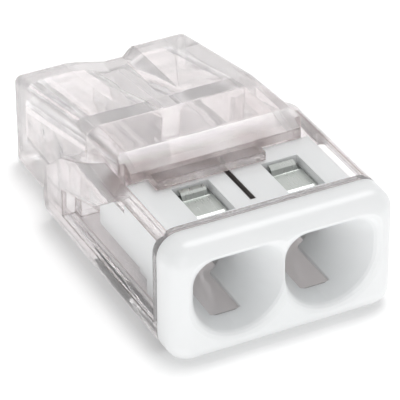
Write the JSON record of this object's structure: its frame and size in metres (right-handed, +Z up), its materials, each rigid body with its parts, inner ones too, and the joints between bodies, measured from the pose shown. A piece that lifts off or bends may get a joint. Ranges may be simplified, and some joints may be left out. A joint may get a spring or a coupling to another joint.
{
  "type": "push-in wire connector",
  "caption": "Compact push-in wire connector: a clear housing, a white cover with side-by-side entry funnels, and leaf-spring clamps that press each wire onto a shared busbar.",
  "frame": {"origin": "bottom centre of the whole object, on the face it rests on", "axes": "+X to the right seen from the wire entry, +Y from the entry face to the closed end, +Z up"},
  "size_m": [0.01, 0.0172, 0.0059],
  "materials": {
    "clear_polycarbonate": "clear moulded polycarbonate, polished",
    "white_polycarbonate": "white moulded plastic, satin gloss",
    "tinned_copper": "tin-plated copper strip",
    "spring_steel": "cold-rolled stainless spring strip"
  },
  "bodies": {
    "root": {"housing": "clear_polycarbonate", "entry_cover": "white_polycarbonate", "busbar": "tinned_copper", "spring_leg_left": "spring_steel", "spring_leg_right": "spring_steel"},
    "tongue_left": {"spring_tongue_left": "spring_steel"},
    "tongue_right": {"spring_tongue_right": "spring_steel"}
  },
  "joints": [
    {"name": "tongue_left_flex", "type": "hinge", "parent": "root", "child": "tongue_left", "pos_m": [-0.00203, -0.0044, 0.00398], "axis": [1, 0, 0], "range_deg": [0, 27], "stiffness_Nm_per_rad": 0.05},
    {"name": "tongue_right_flex", "type": "hinge", "parent": "root", "child": "tongue_right", "pos_m": [0.00203, -0.0044, 0.00398], "axis": [1, 0, 0], "range_deg": [0, 27], "stiffness_Nm_per_rad": 0.05}
  ]
}
